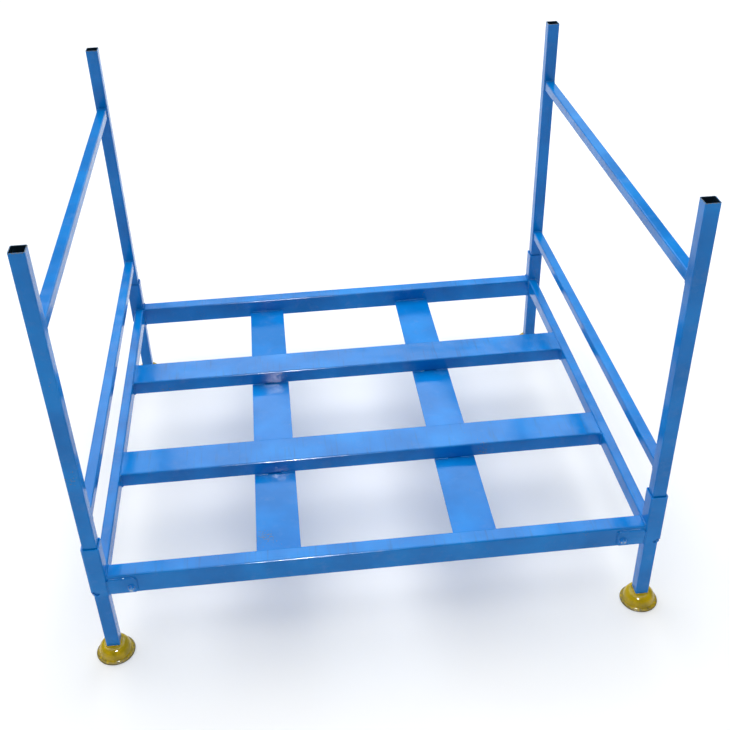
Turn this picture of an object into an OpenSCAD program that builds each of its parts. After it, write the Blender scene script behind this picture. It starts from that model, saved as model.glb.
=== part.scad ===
// Stackable tyre storage rack: a welded steel base on four legs with bell feet, and two
// end frames whose posts drop into sockets at the corners. Tyres stand on their treads in
// two rows, each row wedged between a pair of long rails.
// X runs along the rack, Y runs from front to rear, Z is up. The origin is the middle of
// the floor area. All sizes are in millimetres.

/* [Overall] */
// Length over the outer faces of the posts
rack_length = 1650; // [1300:10:2400]
// Depth over the outer faces of the posts
rack_depth = 1500; // [1300:10:1900]
// Height from the floor to the open tops of the posts
rack_height = 1360; // [1200:10:1800]
// Height of the top faces of the rails above the floor
deck_height = 330; // [300:5:380]

/* [End frames] */
// Width of the square post tube
post_size = 40; // [38:1:44]
// Wall of the post and leg tube
post_wall = 2.5; // [1.5:0.5:4]
// Width of the square tube of the cross bars
bar_size = 32; // [25:1:38]
// Wall of the cross bar tube
bar_wall = 2; // [1.5:0.5:3]
// Height of the top face of the upper bar above the floor
upper_bar_top = 1155; // [900:5:1180]
// Height of the top face of the lower bar above the floor
lower_bar_top = 545; // [500:5:700]

/* [Corner sockets] */
// Wall of the socket tube
socket_wall = 4; // [3:0.5:6]
// Gap on each side between a post and its socket
post_gap = 1; // [0.5:0.25:2]
// How far a post stands inside its socket
post_depth = 110; // [80:5:115]
// Height of the lower end of the socket above the floor
socket_bottom = 258; // [250:1:280]
// Height of the 45 degree cut at the lower end of the socket
socket_cut = 14; // [8:1:20]

/* [Base] */
// Depth of the front and rear rails
rail_depth = 50; // [40:1:60]
// Height of the front and rear rails
rail_height = 72; // [60:1:80]
// Wall of every rail
rail_wall = 3; // [2:0.5:4]
// Width of the two cradle rails between the tyre rows
cradle_width = 118; // [80:1:140]
// Height of the cradle rails and the side rails
cradle_height = 50; // [40:1:60]
// Clear gap between the outer rail and the cradle rail that hold one row
row_gap = 390; // [320:5:420]
// Width of the side rails
side_width = 32; // [28:1:40]
// Width of the flat cross plates under the rails
plate_width = 131; // [80:1:180]
// Thickness of the flat cross plates
plate_thick = 6; // [4:1:10]
// Distance from the middle of the rack to the middle of each cross plate
plate_offset = 293; // [200:1:400]

/* [Corner plates] */
// Length of a corner plate along the rail
corner_plate_length = 82; // [60:1:120]
// Height of a corner plate
corner_plate_height = 54; // [40:1:58]
// Thickness of a corner plate
corner_plate_thick = 5; // [3:1:5]
// Thread diameter of the corner plate bolts
bolt_d = 10; // [8:2:12]

/* [Feet] */
// Diameter of a bell foot at its rim
foot_d = 114; // [100:1:140]
// Height of a bell foot
foot_height = 42; // [36:1:70]
// Wall of a bell foot
foot_wall = 4; // [3:0.5:5]

/* [Hidden] */
$fn = 48;

rack_blue = "#2f7fd0";
foot_yellow = "#b89a1c";
zinc = "#9aa7b0";

front = -1; // sides of the rack along Y and X
rear = 1;
left = -1;
right = 1;

post_x = rack_length / 2 - post_size / 2; // post centre lines
post_y = rack_depth / 2 - post_size / 2;
socket_size = post_size + 2 * post_gap + 2 * socket_wall;
leg_top = deck_height; // the posts stand on the ends of the legs, inside the sockets
socket_top = leg_top + post_depth;
socket_inner_x = post_x - socket_size / 2; // the socket faces that the rails are welded to
socket_inner_y = post_y - socket_size / 2;

rail_face_y = rack_depth / 2; // outer faces of the front and rear rails
rail_inner_y = rail_face_y - rail_depth;
cradle_y = rail_inner_y - row_gap - cradle_width / 2; // centre lines of the cradle rails
cradle_z = deck_height - cradle_height / 2;
side_inner_x = socket_inner_x; // inner faces of the side rails
plate_top = deck_height - cradle_height;
corner_plate_drop = 3; // from the middle of a rail down to the middle of its plate
corner_plate_z = deck_height - rail_height / 2 - corner_plate_drop;
corner_plate_round = 8; // radius of the corners of a plate
bolt_from_end = 16; // from the inner end of a plate to its bolt
bolt_below_middle = 8; // from the middle of a plate down to its bolt
bolt_x = socket_inner_x - corner_plate_length + bolt_from_end;
bolt_z = corner_plate_z - bolt_below_middle;
washer_d = 2.1 * bolt_d;
washer_thick = 2;
head_d = 1.9 * bolt_d; // over the corners of the hexagon
head_thick = 0.65 * bolt_d;
past = 1; // how far a cutting solid reaches past the face that it cuts

rail_round = 6; // outer corner radii of the tubes
side_round = 5;
socket_round = 6;
post_round = 4;
bar_round = 4;
least_round = 0.5; // smallest inner corner radius of a tube

foot_crown_r = 24; // flat crown that the leg stands on
foot_rim_width = 9; // from the waist out to the edge of the rim
foot_waist_r = foot_d / 2 - foot_rim_width; // where the dome turns out into the rim
foot_rim_z = 9; // height of the turned-out rim
foot_steps = 9; // rings on the dome
foot_rim_edge = 2.5; // height of the upright edge of the rim
foot_rim_lip = 1.5; // how much further in than the wall the rim rests on the floor
leg_reach = 8; // how far the leg tube is drawn below the crown, before the dome cuts it

// A rounded square or rectangle with exact corners
module rounded_rectangle(width, height, radius) {
    square([width - 2 * radius, height], center = true);
    square([width, height - 2 * radius], center = true);
    for (i = [-1, 1], j = [-1, 1])
        translate([i * (width / 2 - radius), j * (height / 2 - radius)])
            circle(r = radius);
}

// The section of a rolled hollow tube
module tube_section(width, height, wall, radius) {
    difference() {
        rounded_rectangle(width, height, radius);
        rounded_rectangle(width - 2 * wall, height - 2 * wall,
                          max(radius - wall, least_round));
    }
}

// A tube that stands upright from z1 to z2
module upright_tube(width, wall, z1, z2, radius) {
    translate([0, 0, z1])
        linear_extrude(z2 - z1) tube_section(width, width, wall, radius);
}

// A tube along X, centred on the origin
module tube_x(length, depth, height, wall, radius) {
    rotate([90, 0, 90])
        translate([0, 0, -length / 2])
            linear_extrude(length) tube_section(depth, height, wall, radius);
}

// A tube along Y, centred on the origin
module tube_y(length, width, height, wall, radius) {
    rotate([90, 0, 0])
        translate([0, 0, -length / 2])
            linear_extrude(length) tube_section(width, height, wall, radius);
}

// The front or rear rail, on edge between two sockets
module outer_rail(side) {
    color(rack_blue)
        translate([0, side * (rail_face_y - rail_depth / 2), deck_height - rail_height / 2])
            tube_x(2 * socket_inner_x, rail_depth, rail_height, rail_wall, rail_round);
}

// A cradle rail, flat between the two side rails
module cradle_rail(side) {
    color(rack_blue)
        translate([0, side * cradle_y, cradle_z])
            tube_x(2 * side_inner_x, cradle_width, cradle_height, rail_wall, rail_round);
}

// A side rail between the front and rear sockets
module side_rail(side) {
    color(rack_blue)
        translate([side * (side_inner_x + side_width / 2), 0, cradle_z])
            tube_y(2 * socket_inner_y, side_width, cradle_height, rail_wall, side_round);
}

// A flat plate under the cradle rails, let in between the front and rear rails
module cross_plate(side) {
    color(rack_blue)
        translate([side * plate_offset, 0, plate_top - plate_thick / 2])
            cube([plate_width, 2 * rail_inner_y, plate_thick], center = true);
}

// A socket tube, with the lower outer corner cut at 45 degrees
module socket(x_side, y_side) {
    reach = socket_size; // longer than the cut is wide
    color(rack_blue)
        translate([x_side * post_x, y_side * post_y, 0])
            difference() {
                upright_tube(socket_size, socket_wall, socket_bottom, socket_top, socket_round);
                translate([x_side * socket_size / 2, 0, socket_bottom])
                    rotate([0, x_side * 45, 0])
                        cube([reach, 2 * reach, socket_cut * sqrt(2)], center = true);
            }
}

// Height of the dome of a foot at each step, and its radius there
function dome_r(t) = foot_crown_r + (foot_waist_r - foot_crown_r) * sin(t);
function dome_z(t) = foot_rim_z + (foot_height - foot_rim_z) * cos(t);
function dome_points(inset) =
    [for (i = [0:foot_steps])
        let (t = 90 * i / foot_steps)
            [dome_r(t) - inset * sin(t), dome_z(t) - inset * cos(t)]];

// A bell foot: a pressed dome with a turned-out rim, open underneath so that it
// settles over the top of a post of the rack below
module bell_section() {
    polygon(concat(
        [[0, foot_height]],
        dome_points(0),
        [[foot_d / 2, foot_rim_edge], [foot_d / 2, 0],
         [foot_d / 2 - foot_wall - foot_rim_lip, 0]],
        [for (i = [foot_steps:-1:0]) dome_points(foot_wall)[i]],
        [[0, foot_height - foot_wall]]));
}

// The outer shape of a foot as a solid, to shape the lower end of a leg
module foot_solid() {
    rotate_extrude()
        polygon(concat([[0, 0], [0, foot_height]], dome_points(0), [[foot_d / 2, 0]]));
}

module foot(x_side, y_side) {
    color(foot_yellow)
        translate([x_side * post_x, y_side * post_y, 0])
            rotate_extrude() bell_section();
}

// A leg, from the dome of its foot up into the socket
module leg(x_side, y_side) {
    color(rack_blue)
        translate([x_side * post_x, y_side * post_y, 0])
            difference() {
                upright_tube(post_size, post_wall, foot_height - leg_reach, leg_top, post_round);
                foot_solid();
            }
}

// A plate across the joint of a rail and its socket
module corner_plate(x_side, y_side) {
    centre_x = socket_inner_x - corner_plate_length / 2;
    color(rack_blue)
        translate([x_side * centre_x, y_side * rail_face_y, corner_plate_z])
            rotate([90, 0, 0])
                translate([0, 0, y_side > 0 ? -corner_plate_thick : 0])
                    difference() {
                        linear_extrude(corner_plate_thick)
                            rounded_rectangle(corner_plate_length, corner_plate_height,
                                              corner_plate_round);
                        translate([x_side * (bolt_x - centre_x), bolt_z - corner_plate_z,
                                   -past])
                            cylinder(d = bolt_d, h = corner_plate_thick + 2 * past);
                    }
}

// One hexagon bolt head with its washer, seated on a corner plate and lying along -Y
module corner_bolt() {
    rotate([90, 0, 0]) {
        cylinder(d = washer_d, h = washer_thick);
        translate([0, 0, washer_thick]) cylinder(d = head_d, h = head_thick, $fn = 6);
    }
    rotate([-90, 0, 0]) cylinder(d = bolt_d, h = corner_plate_thick);
}

module corner_bolts() {
    color(zinc)
        for (x_side = [left, right], y_side = [front, rear])
            translate([x_side * bolt_x, y_side * (rail_face_y + corner_plate_thick), bolt_z])
                rotate([0, 0, y_side > 0 ? 180 : 0]) corner_bolt();
}

// A post of an end frame
module post(x_side, y_side) {
    color(rack_blue)
        translate([x_side * post_x, y_side * post_y, 0])
            upright_tube(post_size, post_wall, leg_top, rack_height, post_round);
}

// A cross bar of an end frame, between its two posts
module cross_bar(x_side, top) {
    color(rack_blue)
        translate([x_side * post_x, 0, top - bar_size / 2])
            tube_y(2 * post_y - post_size, bar_size, bar_size, bar_wall, bar_round);
}

outer_rail(front);  // front_rail
outer_rail(rear);  // rear_rail
cradle_rail(front);  // front_cradle_rail
cradle_rail(rear);  // rear_cradle_rail
side_rail(left);  // left_side_rail
side_rail(right);  // right_side_rail
cross_plate(left);  // left_cross_plate
cross_plate(right);  // right_cross_plate
socket(left, front);  // front_left_socket
socket(right, front);  // front_right_socket
socket(left, rear);  // rear_left_socket
socket(right, rear);  // rear_right_socket
leg(left, front);  // front_left_leg
leg(right, front);  // front_right_leg
leg(left, rear);  // rear_left_leg
leg(right, rear);  // rear_right_leg
foot(left, front);  // front_left_foot
foot(right, front);  // front_right_foot
foot(left, rear);  // rear_left_foot
foot(right, rear);  // rear_right_foot
corner_plate(left, front);  // front_left_corner_plate
corner_plate(right, front);  // front_right_corner_plate
corner_plate(left, rear);  // rear_left_corner_plate
corner_plate(right, rear);  // rear_right_corner_plate
corner_bolts();
post(left, front);  // left_front_post
post(left, rear);  // left_rear_post
cross_bar(left, upper_bar_top);  // left_upper_bar
cross_bar(left, lower_bar_top);  // left_lower_bar
post(right, front);  // right_front_post
post(right, rear);  // right_rear_post
cross_bar(right, upper_bar_top);  // right_upper_bar
cross_bar(right, lower_bar_top);  // right_lower_bar
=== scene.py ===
# %% [markdown]
# # A stackable tyre rack in blue and yellow enamel
# The rack is a welded steel base on four legs with bell feet, and two end frames whose
# posts drop into sockets at the corners. Every tube is drawn at full size in CAD, so
# Blender keeps those tubes as they are. What CAD leaves out is made here: the paint, the
# weld beads, the pressed feet, the sheared plates and the bolts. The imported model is
# loaded first, because every later position is read from it.

# %% Load the frame
import math

import bpy
from mathutils import Matrix, Vector


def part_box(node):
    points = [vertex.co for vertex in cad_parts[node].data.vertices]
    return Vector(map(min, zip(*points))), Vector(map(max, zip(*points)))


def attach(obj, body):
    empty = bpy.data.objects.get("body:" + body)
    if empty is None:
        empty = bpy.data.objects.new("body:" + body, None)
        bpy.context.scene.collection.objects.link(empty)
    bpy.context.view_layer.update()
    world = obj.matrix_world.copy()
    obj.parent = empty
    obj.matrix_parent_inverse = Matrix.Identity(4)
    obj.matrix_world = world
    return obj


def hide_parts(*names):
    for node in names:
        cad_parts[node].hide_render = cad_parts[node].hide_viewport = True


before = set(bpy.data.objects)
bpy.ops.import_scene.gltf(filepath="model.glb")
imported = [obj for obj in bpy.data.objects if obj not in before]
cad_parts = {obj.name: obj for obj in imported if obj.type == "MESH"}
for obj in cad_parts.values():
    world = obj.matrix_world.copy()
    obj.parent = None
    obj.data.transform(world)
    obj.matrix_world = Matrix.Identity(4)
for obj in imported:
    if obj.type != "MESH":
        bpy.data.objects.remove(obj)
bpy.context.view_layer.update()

# the four corners of the rack, by name and by their side along Y and X
ROWS = (("front", -1), ("rear", 1))
SIDES = (("left", -1), ("right", 1))

# %% [markdown]
# The camera stands in front of the rack, a little left of its middle and well above head
# height, and looks down across the empty deck. A person holding a camera rarely holds it
# level, so there is a small roll too. The lens is near 50 mm on a 36 mm sensor, and the
# shift stays at nought.

# %% Camera
MM = 0.001  # sizes below are in millimetres, Blender works in metres

CAMERA_PLACE = (-0.212, -2.838, 2.426)
CAMERA_YAW = math.radians(-5.0)
CAMERA_PITCH = math.radians(-34.59)
CAMERA_ROLL = math.radians(-1.79)
SENSOR_WIDTH = 36
LENS = 50.2

camera_data = bpy.data.cameras.new("camera")
camera_data.sensor_width = SENSOR_WIDTH
camera_data.lens = LENS
camera = bpy.data.objects.new("camera", camera_data)
bpy.context.scene.collection.objects.link(camera)
camera.matrix_world = (
    Matrix.Translation(CAMERA_PLACE)
    @ Matrix.Rotation(CAMERA_YAW, 4, "Z")
    @ Matrix.Rotation(math.pi / 2 + CAMERA_PITCH, 4, "X")
    @ Matrix.Rotation(CAMERA_ROLL, 4, "Z")
)
bpy.context.scene.camera = camera
print("camera at", tuple(round(c, 3) for c in camera.location))

# %% [markdown]
# Colours are written as the hex values that a paint chart would give. Those are sRGB,
# while a shader works in linear light, so one function turns the one into the other.
# A second function adds a node, sets its properties and feeds its sockets, which keeps
# each material short enough to read. Every material starts empty, with the Object
# coordinates that its patterns are laid on, so that a pattern keeps its real size.

# %% Colour and node helpers
def linear(hex_colour):
    """An sRGB hex colour as linear red, green, blue and alpha."""
    channels = [int(hex_colour[i:i + 2], 16) / 255 for i in (1, 3, 5)]
    return tuple(
        c / 12.92 if c <= 0.04045 else ((c + 0.055) / 1.055) ** 2.4 for c in channels
    ) + (1.0,)


def add_node(tree, kind, feeds=None, **settings):
    """A new node with its settings; feeds gives a value or an output socket by input."""
    node = tree.nodes.new(kind)
    for name, value in settings.items():
        setattr(node, name, value)
    for name, value in (feeds or {}).items():
        if isinstance(value, bpy.types.NodeSocket):
            tree.links.new(value, node.inputs[name])
        else:
            node.inputs[name].default_value = value
    return node


def cells_of(size_mm):
    """The scale of a pattern whose cells are size_mm across, on Object coordinates."""
    return 1000 / size_mm


def blank_material(name):
    """An empty material, its node tree and the Object coordinates in it."""
    material = bpy.data.materials.new(name)
    material.use_nodes = True
    tree = material.node_tree
    tree.nodes.clear()
    return material, tree, add_node(tree, "ShaderNodeTexCoord").outputs["Object"]


print("middle grey is linear", round(linear("#808080")[0], 3))

# %% [markdown]
# Gloss alkyd enamel is a thick paint, sprayed in one coat over shot steel and left to
# flow. It gives the eye a strong clean colour under a sharp reflection. Its own faults
# tell it from plastic: a faint orange peel, patches where the coat is thicker and deeper
# in colour, and tube faces that are never quite flat, so that reflections bend. Use adds
# more: cloudy dust, chips down to grey steel, and thin smears of rubber where tyres roll
# over the rails. Each is a noise texture whose cells have a size in millimetres. Real
# orange peel has cells of 2 to 3 mm, too fine to show at this distance, so it is drawn at
# 7 mm. The reflection is kept weaker than bare enamel gives, as on paint gone dull.

# %% Blue enamel
ENAMEL_BLUE = "#0077C9"
ENAMEL_THICK = "#0070BF"
ENAMEL_THIN = "#0281D4"
SCALE_GREY = "#5F6D76"
# the bores: dark mill scale, painted darker as the shade inside the tube
BORE_SCALE_AND_SHADE = "#1B2F3E"
DUST = "#8FA3B4"
RUBBER = "#2C3F50"

# pattern sizes in millimetres
COAT_PATCH = 160
DUST_CLOUD = 45
SMEAR_WIDTH, SMEAR_LENGTH = 9, 120
CHIP_SIZE, CHIP_GROUP = 5, 110
PEEL_CELL, PEEL_HEIGHT = 7, 0.16
TUBE_WAVE, WAVE_HEIGHT = 75, 1.6
CHIP_DEPTH = 0.12

DECK_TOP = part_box("front_rail")[1].z
DECK_BAND = (1.5 * MM, 2 * MM)  # how far below and above the deck rubber reaches
SAW_FRAY = 6 * MM  # how far down the paint draws back from a sawn edge
BORE_REACH = 17.8 * MM  # from the middle of a post tube, just past the bore's faces
ENAMEL_SPECULAR = 0.26


def blue_enamel(name, tube_axis=None, sawn_top=None):
    """Gloss blue alkyd enamel on steel.
    tube_axis is the centre (x, y) of upright tubes whose bore is drawn as bare mill scale
    darkened by painted shade, and sawn_top is the height where they are sawn off, both in
    metres."""
    material, tree, place = blank_material(name)

    coat = add_node(tree, "ShaderNodeTexNoise",
                    {"Vector": place, "Scale": cells_of(COAT_PATCH), "Detail": 3.0})
    tone = add_node(tree, "ShaderNodeValToRGB", {"Fac": coat.outputs["Fac"]})
    stops = tone.color_ramp.elements
    stops[0].position, stops[0].color = 0.36, linear(ENAMEL_THICK)
    stops[1].position, stops[1].color = 0.66, linear(ENAMEL_THIN)
    middle = tone.color_ramp.elements.new(0.5)
    middle.color = linear(ENAMEL_BLUE)

    # fine dust lies in the paint and dulls it in cloudy patches
    cloud = add_node(tree, "ShaderNodeTexNoise",
                     {"Vector": place, "Scale": cells_of(DUST_CLOUD), "Detail": 5.0,
                      "Roughness": 0.62})
    dusty = add_node(tree, "ShaderNodeMapRange",
                     {"Value": cloud.outputs["Fac"], "From Min": 0.55, "From Max": 0.85,
                      "To Min": 0.0, "To Max": 0.12})
    painted = add_node(tree, "ShaderNodeMix",
                       {"Factor": dusty.outputs["Result"],
                        "A": tone.outputs["Color"], "B": linear(DUST)},
                       data_type="RGBA")
    colour = painted.outputs["Result"]

    # tyres are rolled in from the front, so rubber is smeared along Y on the rail tops
    axes = add_node(tree, "ShaderNodeSeparateXYZ", {"Vector": place})
    smear_place = add_node(tree, "ShaderNodeMapping",
                           {"Vector": place, "Scale": (cells_of(SMEAR_WIDTH),
                                                       cells_of(SMEAR_LENGTH), 1.0)})
    smear = add_node(tree, "ShaderNodeTexNoise",
                     {"Vector": smear_place.outputs["Vector"], "Scale": 1.0,
                      "Detail": 4.0})
    smeared = add_node(tree, "ShaderNodeMapRange",
                       {"Value": smear.outputs["Fac"], "From Min": 0.56,
                        "From Max": 0.76, "To Max": 0.30})
    above = add_node(tree, "ShaderNodeMath",
                     {0: axes.outputs["Z"], 1: DECK_TOP - DECK_BAND[0]},
                     operation="GREATER_THAN")
    below = add_node(tree, "ShaderNodeMath",
                     {0: axes.outputs["Z"], 1: DECK_TOP + DECK_BAND[1]},
                     operation="LESS_THAN")
    on_deck = add_node(tree, "ShaderNodeMath",
                       {0: above.outputs["Value"], 1: below.outputs["Value"]},
                       operation="MULTIPLY")
    rubber = add_node(tree, "ShaderNodeMath",
                      {0: on_deck.outputs["Value"], 1: smeared.outputs["Result"]},
                      operation="MULTIPLY")
    colour = add_node(tree, "ShaderNodeMix",
                      {"Factor": rubber.outputs["Value"], "A": colour,
                       "B": linear(RUBBER)}, data_type="RGBA").outputs["Result"]
    gloss = add_node(tree, "ShaderNodeMapRange",
                     {"Value": cloud.outputs["Fac"], "From Min": 0.3, "From Max": 0.75,
                      "To Min": 0.11, "To Max": 0.22}).outputs["Result"]

    # chips are where a fine noise peaks inside a coarse one, so that they come in groups
    chip_fine = add_node(tree, "ShaderNodeTexNoise",
                         {"Vector": place, "Scale": cells_of(CHIP_SIZE), "Detail": 2.0})
    chip_group = add_node(tree, "ShaderNodeTexNoise",
                          {"Vector": place, "Scale": cells_of(CHIP_GROUP), "Detail": 1.0})
    chip_sum = add_node(tree, "ShaderNodeMath",
                        {0: chip_fine.outputs["Fac"], 1: chip_group.outputs["Fac"]},
                        operation="ADD")
    chipped = add_node(tree, "ShaderNodeMapRange",
                       {"Value": chip_sum.outputs["Value"], "From Min": 1.40,
                        "From Max": 1.42})
    bare = chipped.outputs["Result"]

    if sawn_top:
        # the saw leaves a sharp edge that paint draws back from
        near_top = add_node(tree, "ShaderNodeMapRange",
                            {"Value": axes.outputs["Z"], "From Min": sawn_top - SAW_FRAY,
                             "From Max": sawn_top - 0.5 * MM, "To Min": 0.0,
                             "To Max": 0.62})
        edge = add_node(tree, "ShaderNodeMath",
                        {0: near_top.outputs["Result"], 1: chip_fine.outputs["Fac"]},
                        operation="ADD")
        sawn = add_node(tree, "ShaderNodeMapRange",
                        {"Value": edge.outputs["Value"], "From Min": 1.0,
                         "From Max": 1.12})
        bare = add_node(tree, "ShaderNodeMath",
                        {0: bare, 1: sawn.outputs["Result"]},
                        operation="MAXIMUM").outputs["Value"]
    worn = add_node(tree, "ShaderNodeMix",
                    {"Factor": bare, "A": colour, "B": linear(SCALE_GREY)},
                    data_type="RGBA")
    colour = worn.outputs["Result"]

    if tube_axis:
        # inside the bore: bare dark mill scale, painted darker still as the shade inside
        # the tube
        reach = []
        for axis, middle_line in zip("XY", tube_axis):
            size = add_node(tree, "ShaderNodeMath", {0: axes.outputs[axis]},
                            operation="ABSOLUTE")
            off = add_node(tree, "ShaderNodeMath",
                           {0: size.outputs["Value"], 1: middle_line},
                           operation="SUBTRACT")
            reach.append(add_node(tree, "ShaderNodeMath", {0: off.outputs["Value"]},
                                  operation="ABSOLUTE").outputs["Value"])
        furthest = add_node(tree, "ShaderNodeMath", {0: reach[0], 1: reach[1]},
                            operation="MAXIMUM")
        inside = add_node(tree, "ShaderNodeMath",
                          {0: furthest.outputs["Value"], 1: BORE_REACH},
                          operation="LESS_THAN")
        colour = add_node(tree, "ShaderNodeMix",
                          {"Factor": inside.outputs["Value"], "A": colour,
                           "B": linear(BORE_SCALE_AND_SHADE)},
                          data_type="RGBA").outputs["Result"]

    peel = add_node(tree, "ShaderNodeTexNoise",
                    {"Vector": place, "Scale": cells_of(PEEL_CELL), "Detail": 1.0})
    wave = add_node(tree, "ShaderNodeTexNoise",
                    {"Vector": place, "Scale": cells_of(TUBE_WAVE), "Detail": 1.0})
    bent = add_node(tree, "ShaderNodeBump",
                    {"Height": wave.outputs["Fac"], "Strength": 1.0,
                     "Distance": WAVE_HEIGHT * MM})
    peeled = add_node(tree, "ShaderNodeBump",
                      {"Height": peel.outputs["Fac"], "Strength": 1.0,
                       "Distance": PEEL_HEIGHT * MM, "Normal": bent.outputs["Normal"]})
    chip_edge = add_node(tree, "ShaderNodeBump",
                         {"Height": bare, "Strength": 1.0, "Distance": CHIP_DEPTH * MM,
                          "Normal": peeled.outputs["Normal"]}, invert=True)
    shader = add_node(tree, "ShaderNodeBsdfPrincipled",
                      {"Base Color": colour, "Roughness": gloss, "IOR": 1.5,
                       "Specular IOR Level": ENAMEL_SPECULAR,
                       "Normal": chip_edge.outputs["Normal"]})
    add_node(tree, "ShaderNodeOutputMaterial", {"Surface": shader.outputs["BSDF"]})
    return material


post_low, post_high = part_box("right_front_post")
POST_AXIS = ((post_low.x + post_high.x) / 2, -(post_low.y + post_high.y) / 2)
rack_paint = blue_enamel("gloss alkyd enamel on welded steel tube")
post_paint = blue_enamel("gloss alkyd enamel on sawn steel tube", POST_AXIS, post_high.z)
print("post centre lines at", [round(c, 4) for c in POST_AXIS])

# %% [markdown]
# The bell feet are pressed from steel plate and painted yellow, so that a driver who
# stacks one rack on another sees them. The coat is uneven, thin and greenish in some
# patches and thick and golden in others. The rim touches the floor, and there the paint
# is scraped and dirty.

# %% Yellow enamel
FOOT_YELLOW = "#C4A602"
FOOT_THIN = "#A48E06"
FOOT_DIRT = "#4E4820"
SCRAPED_BELOW = 12 * MM


def yellow_enamel(rim_height):
    """Gloss yellow alkyd enamel on pressed steel, scraped near the rim."""
    material, tree, place = blank_material("gloss alkyd enamel on pressed steel")
    axes = add_node(tree, "ShaderNodeSeparateXYZ", {"Vector": place})
    run = add_node(tree, "ShaderNodeTexNoise",
                   {"Vector": place, "Scale": cells_of(28), "Detail": 3.0})
    tone = add_node(tree, "ShaderNodeValToRGB", {"Fac": run.outputs["Fac"]})
    stops = tone.color_ramp.elements
    stops[0].position, stops[0].color = 0.38, linear(FOOT_THIN)
    stops[1].position, stops[1].color = 0.6, linear(FOOT_YELLOW)
    # dirt and scrapes: most at the floor, none above the rim
    low = add_node(tree, "ShaderNodeMapRange",
                   {"Value": axes.outputs["Z"], "From Min": 0.0, "From Max": rim_height,
                    "To Min": 0.62, "To Max": 0.0})
    grit = add_node(tree, "ShaderNodeTexNoise",
                    {"Vector": place, "Scale": cells_of(6), "Detail": 4.0})
    scraped = add_node(tree, "ShaderNodeMath",
                       {0: low.outputs["Result"], 1: grit.outputs["Fac"]},
                       operation="ADD")
    dirt = add_node(tree, "ShaderNodeMapRange",
                    {"Value": scraped.outputs["Value"], "From Min": 0.68,
                     "From Max": 1.0, "To Min": 0.0, "To Max": 0.85})
    colour = add_node(tree, "ShaderNodeMix",
                      {"Factor": dirt.outputs["Result"], "A": tone.outputs["Color"],
                       "B": linear(FOOT_DIRT)}, data_type="RGBA")
    gloss = add_node(tree, "ShaderNodeMapRange",
                     {"Value": dirt.outputs["Result"], "To Min": 0.12, "To Max": 0.55})
    peel = add_node(tree, "ShaderNodeTexNoise",
                    {"Vector": place, "Scale": cells_of(9), "Detail": 1.0})
    bump = add_node(tree, "ShaderNodeBump",
                    {"Height": peel.outputs["Fac"], "Strength": 1.0,
                     "Distance": 0.25 * MM})
    shader = add_node(tree, "ShaderNodeBsdfPrincipled",
                      {"Base Color": colour.outputs["Result"],
                       "Roughness": gloss.outputs["Result"], "IOR": 1.5,
                       "Specular IOR Level": 0.35,
                       "Normal": bump.outputs["Normal"]})
    add_node(tree, "ShaderNodeOutputMaterial", {"Surface": shader.outputs["BSDF"]})
    return material


foot_low, foot_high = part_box("front_right_foot")
FOOT_RADIUS = (foot_high.x - foot_low.x) / 2
foot_paint = yellow_enamel(SCRAPED_BELOW)
print("foot", round(FOOT_RADIUS * 2000), "mm across and", round(foot_high.z * 1000), "high")

# %% [markdown]
# The bolts are zinc plated, and the spray gun passed over them, so most of each head is
# blue and the plating shows only in worn spots, such as where spanners have turned it.
# Paint and zinc are mixed by one noise: metallic goes from nought to one with the colour.

# %% Oversprayed zinc
ZINC = "#A9B4BC"


def oversprayed_zinc():
    """Zinc plating under a thin blue overspray that is worn through in spots."""
    material, tree, place = blank_material("zinc plating under enamel overspray")
    spots = add_node(tree, "ShaderNodeTexNoise",
                     {"Vector": place, "Scale": cells_of(6), "Detail": 3.0})
    worn = add_node(tree, "ShaderNodeMapRange",
                    {"Value": spots.outputs["Fac"], "From Min": 0.53, "From Max": 0.66})
    colour = add_node(tree, "ShaderNodeMix",
                      {"Factor": worn.outputs["Result"], "A": linear(ENAMEL_THIN),
                       "B": linear(ZINC)}, data_type="RGBA")
    bump = add_node(tree, "ShaderNodeBump",
                    {"Height": worn.outputs["Result"], "Strength": 1.0,
                     "Distance": 0.06 * MM}, invert=True)
    shader = add_node(tree, "ShaderNodeBsdfPrincipled",
                      {"Base Color": colour.outputs["Result"],
                       "Metallic": worn.outputs["Result"], "Roughness": 0.3,
                       "Normal": bump.outputs["Normal"]})
    add_node(tree, "ShaderNodeOutputMaterial", {"Surface": shader.outputs["BSDF"]})
    return material


bolt_finish = oversprayed_zinc()
print("finishes:", [m.name for m in (rack_paint, post_paint, foot_paint, bolt_finish)])

# %% [markdown]
# Each CAD part keeps its shape and takes a finish on its own material slot. The posts
# get the enamel that knows where their sawn tops are and where their bores get mill scale
# and painted shade; all the other tubes and plates get the plain one.

# %% Finish the CAD parts
for node_name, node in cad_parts.items():
    if node_name.endswith("_foot"):
        node.data.materials[0] = foot_paint
    elif node_name == "corner_bolts":
        node.data.materials[0] = bolt_finish
    elif node_name.endswith("_post"):
        node.data.materials[0] = post_paint
    else:
        node.data.materials[0] = rack_paint
print("painted", len(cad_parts), "CAD parts")

# %% [markdown]
# The new pieces are modelled as by hand. An operator works on whatever is selected, so
# three small helpers keep the selection clean: one leaves edit mode and deselects, one
# picks faces by a test on their centre and normal, and one bakes the place into the
# mesh, so that the finished object sits at the origin like a CAD part.

# %% Modelling helpers
def start_clean():
    """Leave edit mode with nothing selected."""
    if bpy.context.object and bpy.context.object.mode != "OBJECT":
        bpy.ops.object.mode_set(mode="OBJECT")
    bpy.ops.object.select_all(action="DESELECT")


def pick_faces(piece, wanted):
    """In edit mode, select the faces whose centre and normal pass the test."""
    bpy.ops.mesh.select_mode(type="FACE")
    bpy.ops.mesh.select_all(action="DESELECT")
    bpy.ops.object.mode_set(mode="OBJECT")
    for face in piece.data.polygons:
        face.select = wanted(face.center, face.normal)
    bpy.ops.object.mode_set(mode="EDIT")


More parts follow.
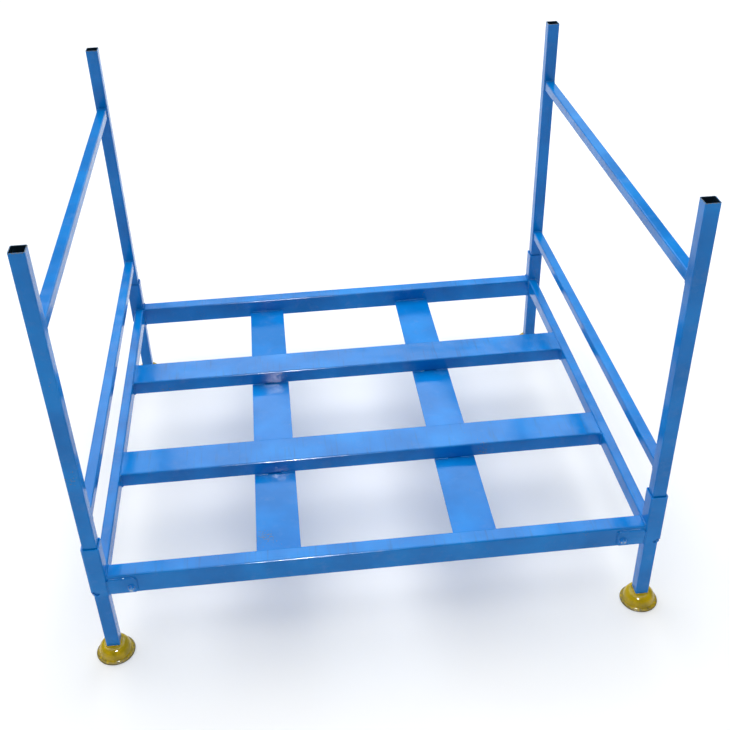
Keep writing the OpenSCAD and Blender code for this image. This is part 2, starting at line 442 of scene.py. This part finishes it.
def settle(piece):
    """Leave edit mode and move the place of the piece into its mesh."""
    start_clean()
    piece.select_set(True)
    bpy.context.view_layer.objects.active = piece
    bpy.ops.object.transform_apply(location=True, rotation=True, scale=True)


def hand_copy(piece, name, matrix):
    """A copy with its own mesh, moved by a matrix."""
    twin = piece.copy()
    twin.data = piece.data.copy()
    twin.name = twin.data.name = name
    bpy.context.scene.collection.objects.link(twin)
    twin.data.transform(matrix)
    return twin


def joined(pieces, name):
    """Several pieces as one."""
    start_clean()
    for piece in pieces:
        piece.select_set(True)
    bpy.context.view_layer.objects.active = pieces[0]
    if len(pieces) > 1:
        bpy.ops.object.join()
    whole = bpy.context.view_layer.objects.active
    whole.name = whole.data.name = name
    return whole


def finish_piece(piece, body, finish, slot, *stands_for):
    """Give a piece its finish, let it ride on its body, and hide what it stands for."""
    piece.data.materials.clear()
    piece.data.materials.append(finish)
    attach(piece, body)
    if stands_for:
        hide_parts(*stands_for)
    low = [min(v.co[i] for v in piece.data.vertices) for i in range(3)]
    high = [max(v.co[i] for v in piece.data.vertices) for i in range(3)]
    print(piece.name, "mm:", [round(1000 * (b - a), 1) for a, b in zip(low, high)],
          "faces:", len(piece.data.polygons))
    return piece


print("helpers ready")

# %% [markdown]
# A bell foot is a round blank pressed over a die: a flat crown for the leg, a full
# shoulder, a waist, and a rim turned out and rolled under so that it doesn't dig into
# the floor. It could be a lathe profile, or a dome cut from a sphere. Here it is raised
# the way it is pressed: the rim ring is extruded upwards step by step and drawn in at
# each step, then closed at the crown and given the thickness of the plate.

# %% Bell foot profile
CROWN_RADIUS = 24.0
RIM_HEIGHT = 9.0
FOOT_HEIGHT = foot_high.z / MM
PLATE_OF_FOOT = 3.6
RIM_TO_WAIST = 9
CROWN_INSET = 6 * MM
DOME_TURN = 88  # degrees, just short of upright at the waist
DOME_STEPS = 14
WAIST_RADIUS = FOOT_RADIUS / MM - RIM_TO_WAIST

rim = FOOT_RADIUS / MM
foot_profile = [(rim - 3.4, 0.0), (rim - 1.6, 0.1), (rim - 0.4, 1.0), (rim, 2.4),
                (rim - 0.5, 3.8), (rim - 1.9, 4.8), (rim - 4.0, 5.2),
                (rim - 6.2, 6.2), (rim - 7.9, 8.2)]
for step in range(DOME_STEPS, -1, -1):
    turn = math.radians(DOME_TURN * step / DOME_STEPS)
    foot_profile.append((
        CROWN_RADIUS + (WAIST_RADIUS - CROWN_RADIUS) * math.sin(turn),
        RIM_HEIGHT + (FOOT_HEIGHT - RIM_HEIGHT) * math.cos(turn),
    ))
print("profile points:", len(foot_profile))

# %% Raise one bell foot
start_clean()
bpy.ops.mesh.primitive_circle_add(vertices=72, radius=foot_profile[0][0] * MM,
                                  fill_type="NOTHING",
                                  location=(0, 0, foot_profile[0][1] * MM))
bell = bpy.context.object
settle(bell)
bpy.ops.object.mode_set(mode="EDIT")
bpy.ops.mesh.select_all(action="SELECT")
for (radius, height), (next_radius, next_height) in zip(foot_profile, foot_profile[1:]):
    bpy.ops.mesh.extrude_region_move(
        TRANSFORM_OT_translate={"value": (0, 0, (next_height - height) * MM)})
    draw_in = next_radius / radius
    bpy.ops.transform.resize(value=(draw_in, draw_in, 1),
                             center_override=(0, 0, next_height * MM))
bpy.ops.mesh.edge_face_add()
bpy.ops.mesh.inset(thickness=CROWN_INSET)
bpy.ops.mesh.select_all(action="SELECT")
bpy.ops.mesh.normals_make_consistent(inside=False)
bpy.ops.object.mode_set(mode="OBJECT")
wall = bell.modifiers.new("plate", "SOLIDIFY")
wall.thickness, wall.offset = PLATE_OF_FOOT * MM, -1
wall.use_even_offset = True
bpy.ops.object.modifier_apply(modifier="plate")
bpy.ops.object.shade_smooth_by_angle(angle=math.radians(50))
print("bell foot vertices:", len(bell.data.vertices))

# %% Set the four feet
for row, _ in ROWS:
    for side, _ in SIDES:
        node_name = f"{row}_{side}_foot"
        low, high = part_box(node_name)
        centre = (low + high) / 2
        # each foot is turned a little, so that no two show the same side
        turned = Matrix.Rotation(0.7 * len(node_name) + centre.x, 4, "Z")
        foot = hand_copy(bell, f"{row}_{side}_bell_foot",
                         Matrix.Translation((centre.x, centre.y, 0)) @ turned)
        finish_piece(foot, "base", foot_paint, "foot_paint", node_name)
bpy.data.objects.remove(bell)

# %% [markdown]
# The two flat cross plates are sheared from 6 mm sheet. A shear rolls the top edge over
# slightly and leaves a burr below, so a real plate never ends in a sharp line: its edge
# catches the light as a thin bright thread. A box with its long edges bevelled unevenly
# gives that.

# %% Sheared cross plates
SHEAR_ROUND = 1.1 * MM


def box_like(node_name):
    """A box as large as a CAD part and in its place, in edit mode."""
    low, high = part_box(node_name)
    start_clean()
    bpy.ops.mesh.primitive_cube_add(size=1, location=(low + high) / 2)
    box = bpy.context.object
    box.scale = high - low
    settle(box)
    bpy.ops.object.mode_set(mode="EDIT")
    return box


for side, _ in SIDES:
    node_name = f"{side}_cross_plate"
    plate = box_like(node_name)
    pick_faces(plate, lambda centre, normal: normal.z > 0.9)
    bpy.ops.mesh.bevel(offset=SHEAR_ROUND, segments=3, affect="EDGES")
    pick_faces(plate, lambda centre, normal: normal.z < -0.9)
    bpy.ops.mesh.bevel(offset=0.4 * SHEAR_ROUND, segments=1, affect="EDGES")
    bpy.ops.object.mode_set(mode="OBJECT")
    bpy.ops.object.shade_smooth_by_angle(angle=math.radians(40))
    plate.name = plate.data.name = f"{side}_sheared_plate"
    finish_piece(plate, "base", rack_paint, "rack_paint", node_name)

# %% [markdown]
# A plate with rounded corners is welded flat over each joint of a long rail and its
# socket, and one bolt goes through it. The outline is cut with a torch and ground, so
# the corners are soft and the outer edge is broken. A box is enough to start from: its
# four short edges are bevelled into the corners, then the edge of its outer face.

# %% Corner plates
def pick_edges(piece, wanted):
    """In edit mode, select the edges whose two ends pass the test."""
    bpy.ops.mesh.select_mode(type="EDGE")
    bpy.ops.mesh.select_all(action="DESELECT")
    bpy.ops.object.mode_set(mode="OBJECT")
    points = piece.data.vertices
    for edge in piece.data.edges:
        edge.select = wanted(*(points[i].co for i in edge.vertices))
    bpy.ops.object.mode_set(mode="EDIT")


PLATE_CORNER = 8 * MM
GROUND_EDGE = 1.2 * MM

for row, outward in ROWS:
    for side, _ in SIDES:
        node_name = f"{row}_{side}_corner_plate"
        plate = box_like(node_name)
        pick_edges(plate, lambda a, b: abs(a.y - b.y) > MM)
        bpy.ops.mesh.bevel(offset=PLATE_CORNER, segments=6, affect="EDGES")
        pick_faces(plate, lambda centre, normal: normal.y * outward > 0.9)
        bpy.ops.mesh.bevel(offset=GROUND_EDGE, segments=3, affect="EDGES")
        bpy.ops.object.mode_set(mode="OBJECT")
        bpy.ops.object.shade_smooth_by_angle(angle=math.radians(35))
        plate.name = plate.data.name = f"{row}_{side}_joint_plate"
        finish_piece(plate, "base", rack_paint, "rack_paint", node_name)

# %% [markdown]
# A hexagon head is forged with a chamfer that turns its outer face into a circle, and it
# sits on a plain washer with a broken outer edge. The washer and the head are modelled
# once, lying along Y, and copied to the four plates, each head turned as it came to rest.

# %% One bolt head on its washer
BOLT = 10 * MM
WASHER_THICK = 2 * MM
HEAD_THICK = 6.5 * MM
BOLT_EDGE = 0.5 * MM

start_clean()
bpy.ops.mesh.primitive_cylinder_add(vertices=40, radius=1.05 * BOLT, depth=WASHER_THICK,
                                    location=(0, -WASHER_THICK / 2, 0),
                                    rotation=(math.pi / 2, 0, 0))
washer = bpy.context.object
settle(washer)
bpy.ops.object.mode_set(mode="EDIT")
pick_faces(washer, lambda centre, normal: normal.y < -0.9)
bpy.ops.mesh.bevel(offset=BOLT_EDGE, segments=2, affect="EDGES")
start_clean()
bpy.ops.mesh.primitive_cylinder_add(vertices=6, radius=0.95 * BOLT, depth=HEAD_THICK,
                                    location=(0, -WASHER_THICK - HEAD_THICK / 2, 0),
                                    rotation=(math.pi / 2, 0, 0))
head = bpy.context.object
settle(head)
bpy.ops.object.mode_set(mode="EDIT")
pick_faces(head, lambda centre, normal: normal.y < -0.9)
bpy.ops.mesh.inset(thickness=1.3 * MM)
bpy.ops.mesh.bevel(offset=BOLT_EDGE, segments=2, affect="EDGES")
pick_faces(head, lambda centre, normal: abs(normal.y) < 0.3)
bpy.ops.mesh.bevel(offset=0.35 * MM, segments=2, affect="EDGES")
bolt = joined([washer, head], "bolt_head")
bpy.ops.object.shade_smooth_by_angle(angle=math.radians(30))
print("bolt head faces:", len(bolt.data.polygons))

# %% Four bolts
BOLT_FROM_END = 16 * MM
BOLT_BELOW_MIDDLE = 8 * MM

bolts = []
for row, outward in ROWS:
    for side, x_side in SIDES:
        low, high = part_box(f"{row}_{side}_corner_plate")
        inner_end = high.x if x_side < 0 else low.x
        place = Matrix.Translation((inner_end + x_side * BOLT_FROM_END,
                                    low.y if outward < 0 else high.y,
                                    (low.z + high.z) / 2 - BOLT_BELOW_MIDDLE))
        spin = Matrix.Rotation(0.9 * len(bolts), 4, "Y")
        facing = Matrix.Rotation(math.pi if outward > 0 else 0, 4, "Z")
        bolts.append(hand_copy(bolt, "bolt", place @ facing @ spin))
bpy.data.objects.remove(bolt)
finish_piece(joined(bolts, "corner_bolt_heads"), "base", bolt_finish, "bolt_zinc",
             "corner_bolts")

# %% [markdown]
# Every joint of the rack is a fillet weld, laid by hand with a wire torch. The torch
# pauses at each step, so a bead is a row of overlapping drops, a few millimetres apart,
# and the paint has filled the valleys between them. A bead could be a curve with a bump
# map, but then the outline stays straight. Here one drop is a flattened sphere, an
# Array modifier lays it in a row, and a Displace modifier makes the hand unsteady.

# %% One weld drop and a run of them
DROP_LENGTH = 0.78  # half the length of a drop, in bead sizes
DROP_STEP = 0.80  # distance between two drops, in bead sizes
BEAD_GROWTH = 1.2  # every bead is drawn this much larger than its size below

# bead sizes in millimetres, from the widest to the finest
WIDE_BEAD, RAIL_BEAD, LOW_BEAD, BAR_BEAD = 3.8, 3.6, 3.4, 3.3
CROWN_BEAD, FLAT_BEAD, THIN_BEAD = 2.8, 2.6, 2.4

start_clean()
bpy.ops.mesh.primitive_uv_sphere_add(segments=8, ring_count=6, radius=1,
                                     rotation=(0, math.pi / 2, 0))
drop = bpy.context.object
drop.scale = (1, 1, DROP_LENGTH)
settle(drop)
drop.name = "weld_drop"


def weld_run(start, end, size_mm):
    """A row of drops from start to end, in metres, with beads size_mm in radius."""
    start, end = Vector(start), Vector(end)
    size = BEAD_GROWTH * size_mm * MM
    length = (end - start).length
    count = max(2, round(length / (DROP_STEP * size)) + 1)
    run = hand_copy(drop, "run", Matrix.Scale(size, 4))
    start_clean()
    run.select_set(True)
    bpy.context.view_layer.objects.active = run
    row = run.modifiers.new("row", "ARRAY")
    row.count = count
    row.use_relative_offset = False
    row.use_constant_offset = True
    row.constant_offset_displace = (length / (count - 1), 0, 0)
    bpy.ops.object.modifier_apply(modifier="row")
    along = (end - start).to_track_quat("X", "Z").to_matrix().to_4x4()
    run.data.transform(Matrix.Translation(start) @ along)
    return run


print("weld drop faces:", len(drop.data.polygons))

# %% The unsteady hand
wobble = bpy.data.textures.new("unsteady hand", "CLOUDS")
wobble.noise_scale = 9 * MM
SHAKE_REACH = 1.6 * MM
SHAKE_MIDDLE = 0.55  # just above a half, so that the beads shrink a little


def weld_piece(name, body, finish, slot, runs):
    """Several weld runs as one piece on a body."""
    piece = joined([weld_run(*run) for run in runs], name)
    shake = piece.modifiers.new("shake", "DISPLACE")
    shake.texture, shake.texture_coords = wobble, "LOCAL"
    shake.strength, shake.mid_level = SHAKE_REACH, SHAKE_MIDDLE
    bpy.ops.object.modifier_apply(modifier="shake")
    bpy.ops.object.shade_smooth_by_angle(angle=math.radians(70))
    return finish_piece(piece, body, finish, slot)


print("joints to weld: rails, sockets, legs, feet, plates and cross bars")

# %% [markdown]
# The long rails and the side rails end on the sockets. Their top beads show on the deck,
# so the welder kept them short of the tube corners. The inner bead closes the corner
# between a long rail and a side rail.

# %% Welds at the sockets
CLEAR = 5 * MM  # a bead stops this far from the rounded corner of a tube
SEAT_OVERRUN = 2 * MM
INNER_LOW, INNER_TOP = 3 * MM, 4 * MM  # short of the two ends of an inner corner
OUTER_LOW = 4 * MM
SIDE_START = 6 * MM

rail_runs = []
for row, y_side in ROWS:
    rail_low, rail_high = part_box(f"{row}_rail")
    face = max(abs(rail_low.y), abs(rail_high.y))
    back = min(abs(rail_low.y), abs(rail_high.y))
    for side, x_side in SIDES:
        side_low, side_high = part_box(f"{side}_side_rail")
        end = x_side * rail_high.x
        seat = y_side * side_high.y
        outside = x_side * max(abs(side_low.x), abs(side_high.x))
        top, bottom, side_bottom = rail_high.z, rail_low.z, side_low.z
        front_edge, back_edge = y_side * (face - CLEAR), y_side * (back + CLEAR)
        side_edge = outside - x_side * CLEAR
        rail_runs += [
            ((end, front_edge, top), (end, seat + y_side * SEAT_OVERRUN, top), WIDE_BEAD),
            ((end, front_edge, bottom), (end, back_edge, bottom), RAIL_BEAD),
            ((end, y_side * back, side_bottom + INNER_LOW),
             (end, y_side * back, top - INNER_TOP), WIDE_BEAD),
            ((end + x_side * SIDE_START, seat, top), (side_edge, seat, top), RAIL_BEAD),
            ((outside, seat, side_bottom + OUTER_LOW), (outside, seat, top - CLEAR),
             RAIL_BEAD),
            ((end + x_side * CLEAR, seat, side_bottom), (side_edge, seat, side_bottom),
             LOW_BEAD),
        ]
weld_piece("socket_rail_welds", "base", rack_paint, "rack_paint", rail_runs)

# %% Welds of the cradle rails
UPRIGHT_GAP = 4 * MM  # short of the two ends of an upright bead
UNDER_GAP, TOP_GAP = 7 * MM, 8 * MM
GROUND_OFF = 1.2 * MM

cradle_runs = []
for row, _ in ROWS:
    low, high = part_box(f"{row}_cradle_rail")
    for _, x_side in SIDES:
        end = x_side * high.x
        for face in (low.y, high.y):
            cradle_runs.append(((end, face, low.z + UPRIGHT_GAP),
                                (end, face, high.z - UPRIGHT_GAP), WIDE_BEAD))
        cradle_runs.append(((end, low.y + UNDER_GAP, low.z),
                            (end, high.y - UNDER_GAP, low.z), LOW_BEAD))
        # the top bead is ground nearly flush, so that tyres don't catch on it
        flush = high.z - GROUND_OFF
        cradle_runs.append(((end, low.y + TOP_GAP, flush), (end, high.y - TOP_GAP, flush),
                            FLAT_BEAD))
weld_piece("cradle_rail_welds", "base", rack_paint, "rack_paint", cradle_runs)

# %% [markdown]
# The cross plates lie under the rails. They are stitched: two short beads where a plate
# passes each side of a cradle rail, and one long bead at each end.

# %% Welds of the cross plates
STITCH = 42 * MM
STITCH_GAP = 4 * MM  # from the edge of the plate to a stitch
LONG_GAP = 9 * MM  # from the edge of the plate to the long bead

plate_runs = []
for side, _ in SIDES:
    low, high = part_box(f"{side}_cross_plate")
    for row, y_side in ROWS:
        rail_low, rail_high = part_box(f"{row}_cradle_rail")
        for face in (rail_low.y, rail_high.y):
            plate_runs += [
                ((low.x + STITCH_GAP, face, high.z), (low.x + STITCH, face, high.z),
                 RAIL_BEAD),
                ((high.x - STITCH, face, high.z), (high.x - STITCH_GAP, face, high.z),
                 RAIL_BEAD),
            ]
        plate_runs.append(((low.x + LONG_GAP, y_side * high.y, high.z),
                           (high.x - LONG_GAP, y_side * high.y, high.z), WIDE_BEAD))
weld_piece("cross_plate_welds", "base", rack_paint, "rack_paint", plate_runs)

# %% Welds round the corner plates
FAR_GAP = 6 * MM  # from the socket end of a plate to its long beads
END_SINK = 1 * MM  # how far the end bead lies below the plate's outer face

joint_runs = []
for row, y_side in ROWS:
    rail_low, rail_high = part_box(f"{row}_rail")
    face = y_side * max(abs(rail_low.y), abs(rail_high.y))
    for side, x_side in SIDES:
        low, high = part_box(f"{row}_{side}_corner_plate")
        near, far = sorted((low.x, high.x), key=abs)
        outer = low.y if y_side < 0 else high.y
        for height in (low.z, high.z):
            joint_runs.append(((near + x_side * PLATE_CORNER, face, height),
                               (far - x_side * FAR_GAP, face, height), FLAT_BEAD))
        joint_runs.append(((near, face, low.z + PLATE_CORNER),
                           (near, face, high.z - PLATE_CORNER), FLAT_BEAD))
        sunk = outer - y_side * END_SINK
        joint_runs.append(((far, sunk, low.z + PLATE_CORNER),
                           (far, sunk, high.z - PLATE_CORNER), THIN_BEAD))
weld_piece("corner_plate_welds", "base", rack_paint, "rack_paint", joint_runs)

# %% [markdown]
# Each leg passes up into its socket and is welded round the socket's lower end, which is
# cut at 45 degrees on the outer side, so that bead climbs with the cut. Below, the leg
# stands on the crown of its foot, in a bead that the yellow paint covers.

# %% Welds of the legs
CUT_START = 11 * MM  # where the 45 degree cut begins, outwards from the leg's middle
CUT_RISE = 9 * MM  # how far the bead has climbed at the leg's outer face
LEG_GAP = 3 * MM  # short of the rounded corners of the leg
CUT_GAP = 1 * MM
CROWN_SINK = 0.4 * MM

leg_runs, foot_runs = [], []
for row, _ in ROWS:
    for side, x_side in SIDES:
        low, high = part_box(f"{row}_{side}_leg")
        middle = (low + high) / 2
        half = (high.x - low.x) / 2
        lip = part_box(f"{row}_{side}_socket")[0].z
        inner, outer = middle.x - x_side * half, middle.x + x_side * half
        bend = middle.x + x_side * CUT_START
        inset = half - LEG_GAP
        leg_runs += [((inner, middle.y - inset, lip), (inner, middle.y + inset, lip),
                      LOW_BEAD),
                     ((outer, middle.y - inset, lip + CUT_RISE),
                      (outer, middle.y + inset, lip + CUT_RISE), LOW_BEAD)]
        crown = foot_high.z - CROWN_SINK
        for turn in (-1, 1):
            flank = middle.y + turn * half
            leg_runs += [((inner + x_side * LEG_GAP, flank, lip), (bend, flank, lip),
                          LOW_BEAD),
                         ((bend, flank, lip),
                          (outer - x_side * CUT_GAP, flank, lip + CUT_RISE), LOW_BEAD)]
            foot_runs += [
                ((middle.x - inset, flank, crown), (middle.x + inset, flank, crown),
                 CROWN_BEAD),
                ((middle.x + turn * half, middle.y - inset, crown),
                 (middle.x + turn * half, middle.y + inset, crown), CROWN_BEAD)]
weld_piece("leg_socket_welds", "base", rack_paint, "rack_paint", leg_runs)
weld_piece("leg_foot_welds", "base", foot_paint, "foot_paint", foot_runs)

# %% Welds of the end frames
BAR_GAP = 3.5 * MM  # short of the rounded corners of a cross bar

for side, _ in SIDES:
    bar_runs = []
    for level in ("upper", "lower"):
        low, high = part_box(f"{side}_{level}_bar")
        for end in (low.y, high.y):
            for height in (low.z, high.z):
                bar_runs.append(((low.x + BAR_GAP, end, height),
                                 (high.x - BAR_GAP, end, height), BAR_BEAD))
            for flank in (low.x, high.x):
                bar_runs.append(((flank, end, low.z + BAR_GAP),
                                 (flank, end, high.z - BAR_GAP), BAR_BEAD))
    weld_piece(f"{side}_end_frame_welds", f"{side}_end_frame", rack_paint, "rack_paint",
               bar_runs)
bpy.data.objects.remove(drop)

# %% [markdown]
# The floor is a plain pale sheet of paper, wide enough to fill every view. It is matt,
# with only the faintest grain, so that nothing competes with the rack.

# %% Floor
FLOOR_WIDTH = 400  # metres, so that its edge stays beyond every low view


def pale_paper():
    """Matt pale backdrop paper."""
    material, tree, place = blank_material("matt backdrop paper")
    grain = add_node(tree, "ShaderNodeTexNoise",
                     {"Vector": place, "Scale": cells_of(600), "Detail": 2.0})
    tone = add_node(tree, "ShaderNodeMix",
                    {"Factor": grain.outputs["Fac"], "A": linear("#F0F0EF"),
                     "B": linear("#F5F5F4")}, data_type="RGBA")
    shader = add_node(tree, "ShaderNodeBsdfPrincipled",
                      {"Base Color": tone.outputs["Result"], "Roughness": 0.9,
                       "Specular IOR Level": 0.1})
    add_node(tree, "ShaderNodeOutputMaterial", {"Surface": shader.outputs["BSDF"]})
    return material


start_clean()
bpy.ops.mesh.primitive_plane_add(size=FLOOR_WIDTH, location=(0, 0, 0))
floor = bpy.context.object
floor.name = "floor"
floor.data.materials.append(pale_paper())
print("floor", round(floor.dimensions.x), "m wide")

# %% [markdown]
# The roof light is a sun with a very wide disc, tilted a little to the back. It lights
# the floor and gives the rack its soft shadow. A weak azure softbox behind the rack makes
# the top faces a little brighter and hardly touches the sides. A small lamp beside the
# camera is left out of the diffuse light, so that it makes only sharp highlights. Seen
# from behind, these are white streaks on the rails. The world does two jobs: it fills the
# shade weakly, and it looks white to the camera, so that no line shows where the floor
# ends.

# %% Light
def softbox(name, place, target, size, power, colour="#FFFFFF"):
    """A square area light that faces its target."""
    data = bpy.data.lights.new(name, "AREA")
    data.size, data.energy = size, power
    data.color = linear(colour)[:3]
    box = bpy.data.objects.new(name, data)
    bpy.context.scene.collection.objects.link(box)
    box.location = place
    aim = Vector(target) - Vector(place)
    box.rotation_euler = aim.to_track_quat("-Z", "Y").to_euler()
    return box


softbox("back wall light", (0.6, 4.9, 3.6), (0, 0.2, 0.4), 4.0, 64, "#BFE2FF")
glint = softbox("camera light", (-0.24, -2.85, 2.56), (0, -0.2, 0.3), 0.14, 220)
glint.visible_diffuse = False

ROOF_POWER = 3.35
ROOF_ANGLE = math.radians(85)
ROOF_TILT = (math.radians(-16), math.radians(-6), 0)

roof_data = bpy.data.lights.new("roof light", "SUN")
roof_data.energy, roof_data.angle = ROOF_POWER, ROOF_ANGLE
roof = bpy.data.objects.new("roof light", roof_data)
roof.rotation_euler = ROOF_TILT
bpy.context.scene.collection.objects.link(roof)

ROOM_FILL, ROOM_SEEN = 0.2, 1.12  # what the room gives the rack, and how pale it looks

world = bpy.data.worlds.new("room")
bpy.context.scene.world = world
world.use_nodes = True
sky = world.node_tree.nodes["Background"]
sky.inputs["Color"].default_value = linear("#F4F7FA")
path = add_node(world.node_tree, "ShaderNodeLightPath")
strength = add_node(world.node_tree, "ShaderNodeMapRange",
                    {"Value": path.outputs["Is Camera Ray"], "To Min": ROOM_FILL,
                     "To Max": ROOM_SEEN})
world.node_tree.links.new(strength.outputs["Result"], sky.inputs["Strength"])
# the plain transfer curve keeps the enamel as strong in colour as its paint chart
bpy.context.scene.view_settings.view_transform = "Standard"
